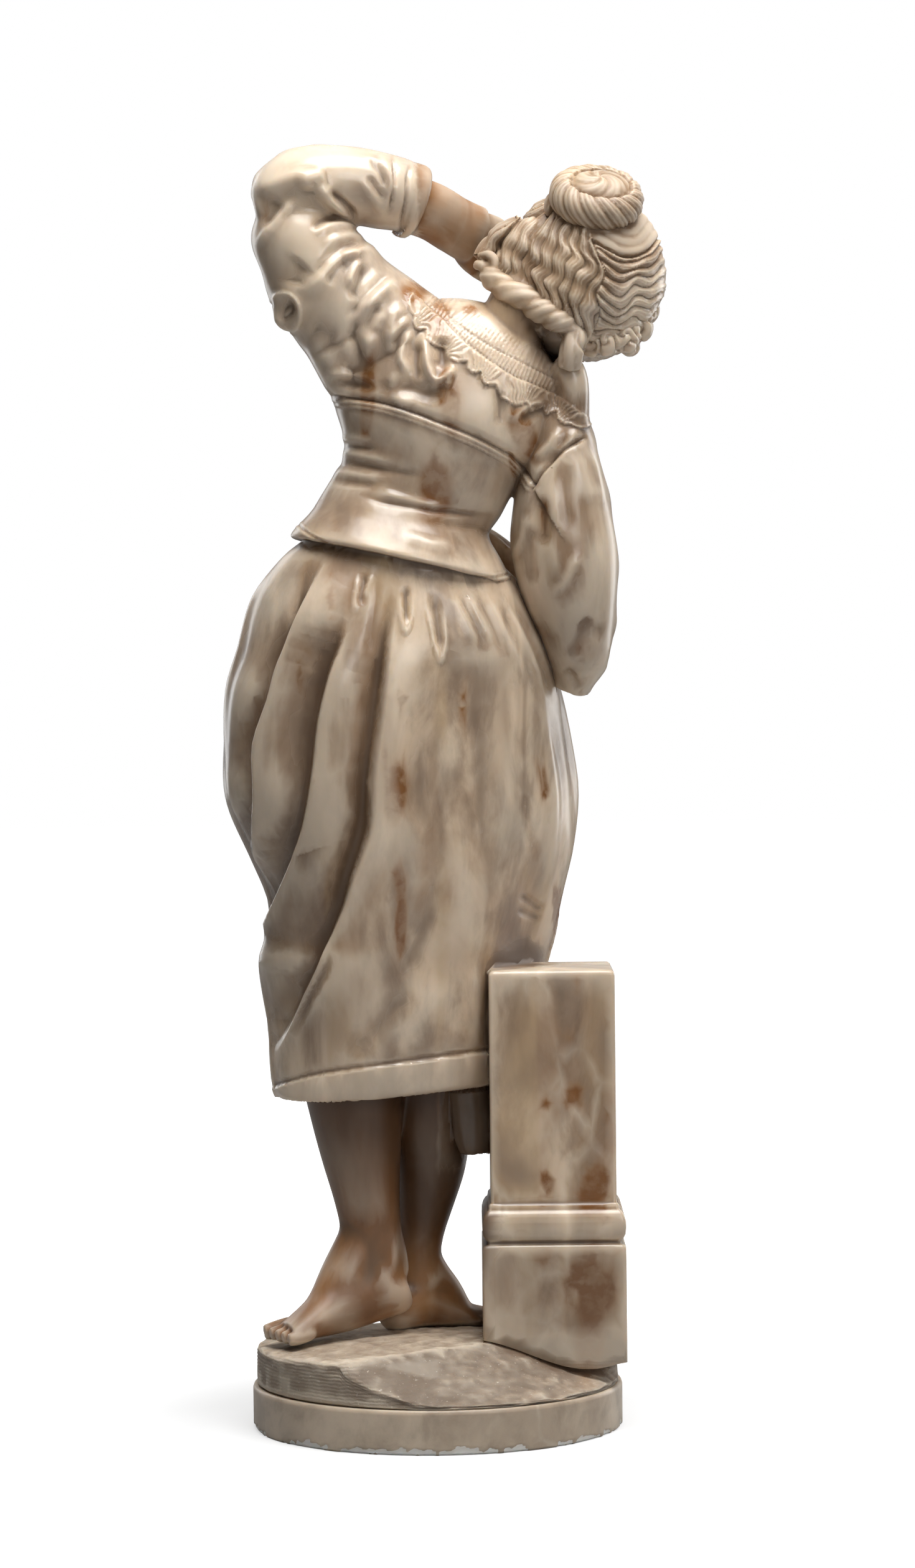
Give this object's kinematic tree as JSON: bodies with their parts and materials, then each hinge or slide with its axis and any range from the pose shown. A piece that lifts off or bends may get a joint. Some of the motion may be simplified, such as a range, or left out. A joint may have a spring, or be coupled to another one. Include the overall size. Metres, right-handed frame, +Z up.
{
  "type": "alabaster figure of a girl leaning on a pillar",
  "caption": "Standing alabaster figure of a barefoot girl seen from behind, leaning on a square pillar with one arm raised to her brow, on a rough ground and a round plinth.",
  "frame": {"origin": "centre of the plinth's underside", "axes": "+Z up, the figure's back is turned to -Y, the pillar stands on the +X side"},
  "size_m": [0.2809, 0.23, 0.7968],
  "materials": {
    "alabaster": "polished, cloudy ivory and brown-grey stone with honey-brown stains",
    "plinth_alabaster": "smooth satin, grey-beige stone, chipped white along the lower edge"
  },
  "bodies": {
    "root": {"figure": "alabaster", "plinth": "plinth_alabaster"}
  },
  "joints": []
}
